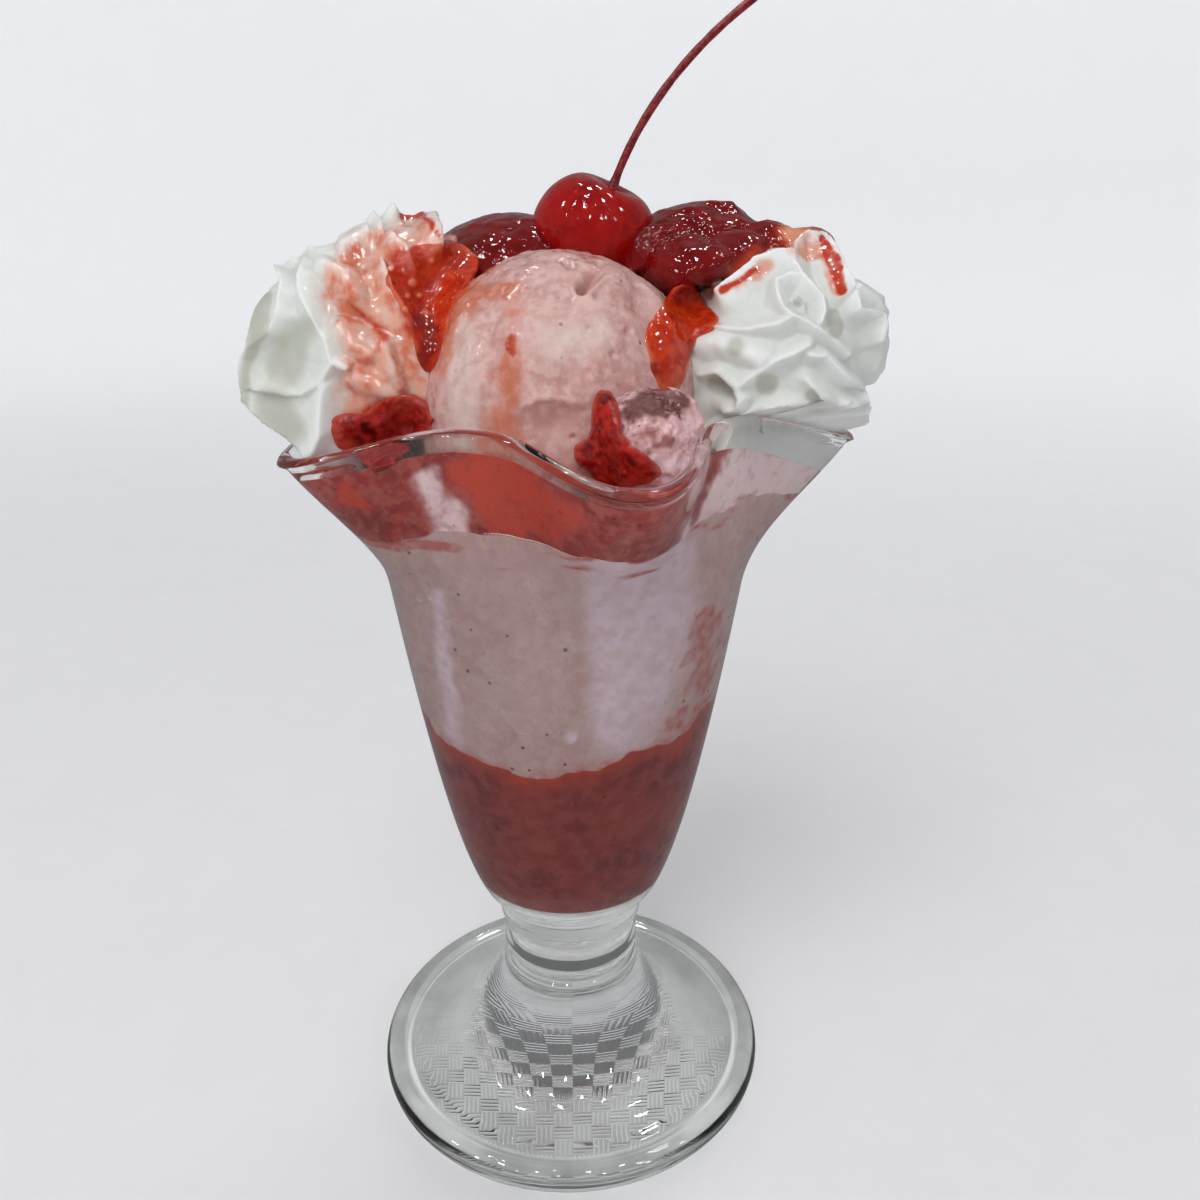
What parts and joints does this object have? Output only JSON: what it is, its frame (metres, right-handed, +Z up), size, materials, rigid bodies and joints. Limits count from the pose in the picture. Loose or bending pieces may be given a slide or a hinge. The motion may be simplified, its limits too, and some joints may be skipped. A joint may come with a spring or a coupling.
{
  "type": "ice cream sundae",
  "caption": "Strawberry ice cream sundae in a footed clear glass dish with a waved rim, layered with sauce and topped with whipped cream and a cherry on its stalk.",
  "frame": {"origin": "centre of the foot's flat underside, on the surface that the dish stands on", "axes": "+Z up through the stem towards the cherry, -Y towards the side with the bare scoop, +X towards the piped cream and the way the cherry's stalk leans"},
  "size_m": [0.1087, 0.094, 0.2035],
  "materials": {
    "clear_glass": "clear pressed glass, polished",
    "lower_sauce": "thick dark strawberry sauce seen through glass",
    "packed_ice_cream": "packed strawberry ice cream, greyish pink with dark seeds",
    "upper_sauce": "orange-red strawberry sauce",
    "scooped_ice_cream": "pale pink ice cream, scraped and half melted",
    "hidden_ice_cream": "pale pink ice cream",
    "dark_sauce": "dark red glossy sauce with fruit in it",
    "orange_syrup": "clear orange-red syrup",
    "whipped_cream": "whipped cream in broad folds, stained by syrup",
    "crushed_strawberry": "crushed strawberry, wet",
    "lump_of_ice_cream": "ice cream lump with dark seeds on top",
    "cherry_skin": "glossy candied cherry skin",
    "cherry_stalk": "dark red stalk, slightly glossy"
  },
  "bodies": {
    "root": {"glass": "clear_glass", "sauce_base": "lower_sauce", "ice_cream_fill": "packed_ice_cream", "sauce_pool": "upper_sauce", "scoop_front": "scooped_ice_cream", "scoop_back": "hidden_ice_cream", "sauce_crown": "dark_sauce", "syrup_left": "orange_syrup", "syrup_right": "orange_syrup", "cream_left": "whipped_cream", "cream_right": "whipped_cream", "strawberry_left": "crushed_strawberry", "strawberry_front": "crushed_strawberry", "ice_cream_lump": "lump_of_ice_cream", "cherry": "cherry_skin", "cherry_stalk": "cherry_stalk"}
  },
  "joints": []
}
